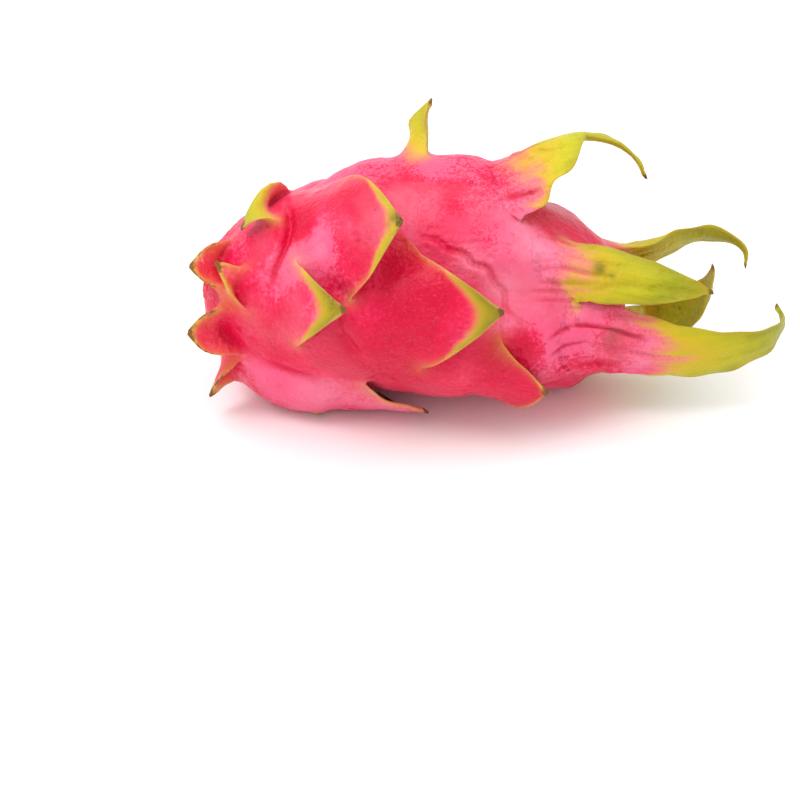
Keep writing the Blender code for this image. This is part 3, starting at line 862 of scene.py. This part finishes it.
    # tinted margins, dried tips and dark spots
    edge = add(mathNode, multiplyAdd, {0: combed, 1: -0.35, 2: 0.6})
    edge = add(mathNode, multiply, {0: margin, 1: edge})
    dried = add(mathNode, multiplyAdd, {0: grain, 1: 0.8, 2: dry})
    dried = add(rampNode, {"stops": ((0.78, 0.0), (1.0, 0.9))}, {"Fac": dried})
    for share, name in ((edge, "margin"), (dried, "dry"), (shade, "spot")):
        colour = add(mixNode, mixColours, {0: share, 6: colour, 7: linear(skinLook[name])}, 2)

    rough = skinLook["roughness"] - 0.1
    for source, amount in ((patch, 0.2), (dried, 0.3), (inner, 0.12)):
        rough = add(mathNode, multiplyAdd, {0: source, 1: amount, 2: rough})
    pitted = add(rampNode, {"stops": ((0.05, 0.0), (0.3, 0.5))}, {"Fac": pores})
    relief = 0.0
    for source, amount in ((strand, 0.4), (grain, 0.5), (pitted, 1.0)):
        relief = add(mathNode, multiplyAdd, {0: source, 1: amount, 2: relief})
    bump = add("ShaderNodeBump", None, {"Height": relief, "Strength": 0.9, "Distance": 0.9 * mm})
    for name, source in (("Base Color", colour), ("Roughness", rough), ("Normal", bump)):
        tree.links.new(source, shader.inputs[name])
    for name, value in (("Subsurface Weight", 0.25), ("Subsurface Radius", (1.0, 0.4, 0.3)),
                        ("Subsurface Scale", 3.0 * mm), ("IOR", 1.45), ("Specular IOR Level", 0.25)):
        shader.inputs[name].default_value = value
    return material


fruit.data.materials.clear()
fruit.data.materials.append(makeSkin())
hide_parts("fruit")
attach(fruit, "root")
print("skin finished")


# Stem stub and flower scar

ends = {
    "steps": 88,  # round an end
    "rings": 14,  # across its top
    "roughness": 0.25 * mm,  # of the top
    "rooted": 0.4 * mm,  # how deep the fibres stand in it
    "goldenAngle": 2.39996,  # radians from one fibre to the next
    "fibreSize": 0.909,  # of the streaks in the wood, in millimetres
    "blotchSize": 3.125,
}
stub = {
    "radius": 5.6 * mm,
    "length": 8.0 * mm,
    "profile": ((1.0, 0.0), (1.0, 0.15), (1.0, 0.3), (0.98, 0.4), (0.93, 0.52), (0.94, 0.66),
                (0.99, 0.8), (1.0, 0.9), (0.96, 0.97), (0.88, 1.0)),  # shares of the radius and the length
    "hollow": 0.6 * mm,
    "ribs": 11,
    "ribDepth": 0.3 * mm,
    "fibres": 90,  # splinters on the broken end
    "fibreLength": 1.5 * mm,
    "fibreWidth": 0.32 * mm,
    "fibreLean": 0.3,
    "bark": "#7d6a3c",
    "wood": "#c9b184",
    "shade": "#4a3718",
}
scar = {
    "radius": 6.4 * mm,
    "length": 7.0 * mm,
    "profile": ((1.0, 0.0), (1.0, 0.2), (1.0, 0.4), (1.0, 0.6), (1.0, 0.78), (0.99, 0.9),
                (0.95, 0.97), (0.86, 1.0)),
    "hollow": 1.2 * mm,
    "ribs": 17,
    "ribDepth": 0.35 * mm,
    "fibres": 26,  # withered stalks of the flower
    "fibreLength": 7.5 * mm,
    "fibreWidth": 0.75 * mm,
    "fibreLean": 0.35,
    "bark": "#7a5b2e",
    "wood": "#a98549",
    "shade": "#3d2a12",
}


def turnedEnd(name, end):
    # a ribbed round body that stands in the fruit's socket
    steps = ends["steps"]
    free = end["length"] - body["socketGap"]
    levels = [(share * end["radius"], body["socketGap"] + free * up) for share, up in end["profile"]]
    rim, top = levels[-1]
    for k in range(1, ends["rings"]):
        share = 1.0 - k / ends["rings"]
        levels.append((rim * share, top - end["hollow"] * smooth(1.0 - share)))
    bm = bmesh.new()
    rings = []
    for number, (radius, height) in enumerate(levels):
        ring = []
        for k in range(steps):
            turn = 2.0 * math.pi * k / steps
            wavy = noise.noise(Vector((math.cos(turn) * 2.0, math.sin(turn) * 2.0, height * 300.0)))
            rib = end["ribDepth"] * (0.5 * math.cos(turn * end["ribs"] + wavy) + wavy - 1.0)
            out = radius + rib * min(1.0, radius / end["radius"])
            east, north = out * math.cos(turn), out * math.sin(turn)
            rough = ends["roughness"] * noise.noise(Vector((east, north, 0.0)) * 1500.0)
            lift = rough * smooth((number - len(end["profile"]) + 2) / 3.0)
            ring.append(bm.verts.new((east, north, height + lift)))
        rings.append(ring)
    for below, above in zip(rings, rings[1:]):
        for k in range(steps):
            bm.faces.new((below[k], below[(k + 1) % steps], above[(k + 1) % steps], above[k]))
    for ring, height in ((rings[0], levels[0][1]), (rings[-1], levels[-1][1])):
        middle = bm.verts.new((0.0, 0.0, height))
        for k in range(steps):
            bm.faces.new((ring[k], ring[(k + 1) % steps], middle))
    bmesh.ops.recalc_face_normals(bm, faces=bm.faces[:])
    mesh = bpy.data.meshes.new(name)
    bm.to_mesh(mesh)
    bm.free()
    mesh.shade_smooth()
    return looseObject(mesh, scene.collection)


def growFibres(obj, end, material):
    # tapered fibres stand on the faces that look up
    tree = bpy.data.node_groups.new("fibres", "GeometryNodeTree")
    add = partial(addNode, tree)
    tree.interface.new_socket("Geometry", in_out="INPUT", socket_type="NodeSocketGeometry")
    sockets = {}
    for label, kind, value in (("Fibres", "Int", end["fibres"]), ("Length", "Float", end["fibreLength"]),
                               ("Width", "Float", end["fibreWidth"]), ("Lean", "Float", end["fibreLean"]),
                               ("Reach", "Float", 0.94 * end["radius"])):
        socket = tree.interface.new_socket(label, in_out="INPUT", socket_type="NodeSocket" + kind)
        sockets[socket.identifier] = value
    tree.interface.new_socket("Geometry", in_out="OUTPUT", socket_type="NodeSocketGeometry")
    given = tree.nodes.new("NodeGroupInput").outputs

    # spread evenly in a spiral, and dropped onto the end
    index = add("GeometryNodeInputIndex")
    spread = add(mathNode, {"operation": "DIVIDE"}, {0: index, 1: given["Fibres"]})
    spread = add(mathNode, {"operation": "SQRT"}, {0: spread})
    reach = add(mathNode, multiply, {0: spread, 1: given["Reach"]})
    turn = add(mathNode, multiply, {0: index, 1: ends["goldenAngle"]})
    east, north = (
        add(mathNode, multiply, {0: add(mathNode, {"operation": wave}, {0: turn}), 1: reach})
        for wave in ("COSINE", "SINE")
    )
    high = add("ShaderNodeCombineXYZ", None, {0: east, 1: north, 2: end["length"] + 2.0 * mm})
    points = add("GeometryNodePoints", None, {"Count": given["Fibres"], "Position": high})
    hit = add("GeometryNodeRaycast", None,
              {"Target Geometry": given["Geometry"], "Ray Direction": (0.0, 0.0, -1.0),
               "Ray Length": 20.0 * mm}, "Hit Position")
    points = add("GeometryNodeSetPosition", None,
                 {"Geometry": points, "Position": hit, "Offset": (0.0, 0.0, -ends["rooted"])})

    # one fibre: a cone that bows over
    thin = add(mathNode, multiply, {0: given["Width"], 1: 0.3})
    cone = add("GeometryNodeMeshCone", {"fill_type": "NGON"},
               {"Vertices": 7, "Side Segments": 6, "Radius Bottom": given["Width"],
                "Radius Top": thin, "Depth": given["Length"]}, "Mesh")
    spot = add("GeometryNodeInputPosition")
    bow = add("ShaderNodeSeparateXYZ", None, {0: spot}, 2)
    for operation, value in (("DIVIDE", given["Length"]), ("POWER", 2.0), ("MULTIPLY", given["Lean"]),
                             ("MULTIPLY", given["Length"])):
        bow = add(mathNode, {"operation": operation}, {0: bow, 1: value})
    aside = add("ShaderNodeCombineXYZ", None, {0: bow})
    cone = add("GeometryNodeSetPosition", None, {"Geometry": cone, "Offset": aside})

    # planted at random leans and sizes
    lean = add("FunctionNodeRandomValue", {"data_type": "FLOAT_VECTOR"},
               {"Min": (-0.25, -0.25, -0.5), "Max": (0.25, 0.25, 0.5), "Seed": 4})
    facing = add("ShaderNodeCombineXYZ", None, {2: turn})
    turned = add("ShaderNodeVectorMath", {"operation": "ADD"}, {0: facing, 1: lean})
    size = add("FunctionNodeRandomValue", {"data_type": "FLOAT"}, {2: 0.5, 3: 1.0, "Seed": 9}, 1)
    planted = add("GeometryNodeInstanceOnPoints", None,
                  {"Points": points, "Instance": cone, "Rotation": turned, "Scale": size})
    real = add("GeometryNodeRealizeInstances", None, {"Geometry": planted})
    real = add("GeometryNodeSetShadeSmooth", None, {"Geometry": real})
    both = add("GeometryNodeJoinGeometry", None, {0: given["Geometry"]})
    tree.links.new(real, both.node.inputs[0])
    finished = add("GeometryNodeSetMaterial", None, {"Geometry": both, "Material": material})
    tree.links.new(finished, tree.nodes.new("NodeGroupOutput").inputs[0])
    modifier = obj.modifiers.new("fibres", "NODES")
    modifier.node_group = tree
    for identifier, value in sockets.items():
        modifier[identifier] = value
    applyModifiers(obj)


def makeWood(name, end):
    # dry plant tissue: matt, streaked lengthwise, darker in the furrows
    material, tree, shader = newMaterial(name)
    add = partial(addNode, tree)
    where = add("ShaderNodeTexCoord", output="Object")
    along = add("ShaderNodeMapping", None, {"Vector": where, "Scale": (0.15, 1.0, 1.0)})
    streak = add(noiseNode, None, {"Vector": along, "Scale": 1000.0 / ends["fibreSize"], "Detail": 5.0,
                                   "Roughness": 0.6})
    blotch = add(noiseNode, None, {"Vector": where, "Scale": 1000.0 / ends["blotchSize"], "Detail": 3.0})
    mixed = add(mathNode, multiply, {0: streak, 1: 0.7})
    mixed = add(mathNode, multiplyAdd, {0: blotch, 1: 0.4, 2: mixed})
    colour = add(rampNode, {"stops": ((0.36, end["shade"]), (0.52, end["bark"]), (0.72, end["wood"]))},
                 {"Fac": mixed})
    rough = add(mathNode, multiplyAdd, {0: streak, 1: 0.25, 2: 0.65})
    bump = add("ShaderNodeBump", None, {"Height": mixed, "Strength": 0.7, "Distance": 0.6 * mm})
    for name, source in (("Base Color", colour), ("Roughness", rough), ("Normal", bump)):
        tree.links.new(source, shader.inputs[name])
    shader.inputs["Specular IOR Level"].default_value = 0.3
    return material


for name, woodName, end, side, node, slot in (
    ("stemStub", "cutWoodyStem", stub, -1.0, "stem_stub", "stem"),
    ("flowerScar", "witheredFlower", scar, 1.0, "flower_scar", "scar"),
):
    wood = makeWood(woodName, end)
    obj = turnedEnd(name, end)
    growFibres(obj, end, wood)
    obj.data.transform(Matrix.Translation(origin) @ endFrame(side))
    obj.data.materials.clear()
    obj.data.materials.append(wood)
    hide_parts(node)
    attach(obj, "root")
print("stem stub and flower scar finished")


# Studio

studio = {
    "floorColour": "#fdfdfd",
    "floorSize": 3.0,
    "floorDrop": 0.2 * mm,
    "lights": {  # power, size, place and the place it points at
        "overhead": (7.4, 1.6, (-0.1, 0.15, 1.2), (-0.1, 0.15, 0.0)),
        "key": (1.8, 0.3, (-0.4, -0.25, 0.7), (0.0, 0.0, 0.03)),
    },
    "worldStrength": 0.91,
}


def makeFloor():
    bpy.ops.mesh.primitive_plane_add(size=studio["floorSize"])
    floor = bpy.context.object
    floor.name = "floor"
    material, _, shader = newMaterial("palePaper")  # matt white paper, so only soft shadows show on it
    shader.inputs["Base Color"].default_value = linear(studio["floorColour"])
    shader.inputs["Roughness"].default_value = 0.8
    floor.data.materials.append(material)
    floor.location.z = -studio["floorDrop"]


def addLight(name, power, size, spot, aim):
    light = bpy.data.lights.new(name, "AREA")
    light.energy = power
    light.size = size
    lamp = bpy.data.objects.new(name, light)
    lamp.location = spot
    lamp.rotation_mode = "QUATERNION"
    lamp.rotation_quaternion = (Vector(aim) - Vector(spot)).to_track_quat("-Z", "Y")
    scene.collection.objects.link(lamp)


def addCamera():
    data = bpy.data.cameras.new("camera")
    obj = bpy.data.objects.new("camera", data)
    scene.collection.objects.link(obj)
    scene.camera = obj
    obj.location = cameraSpot()[0]
    obj.rotation_euler = (math.radians(90.0 - camera["elevation"]), 0.0, 0.0)
    data.sensor_width = 36.0
    data.lens = 36.0 * camera["distance"] / (camera["frame"] * camera["pixel"])
    data.clip_start = 0.01


makeFloor()
for name, settings in studio["lights"].items():
    addLight(name, *settings)
world = bpy.data.worlds.new("studio")
scene.world = world
world.use_nodes = True
world.node_tree.nodes["Background"].inputs["Color"].default_value = (1.0, 1.0, 1.0, 1.0)
world.node_tree.nodes["Background"].inputs["Strength"].default_value = studio["worldStrength"]
scene.view_settings.view_transform = "Standard"
addCamera()
print("studio ready")
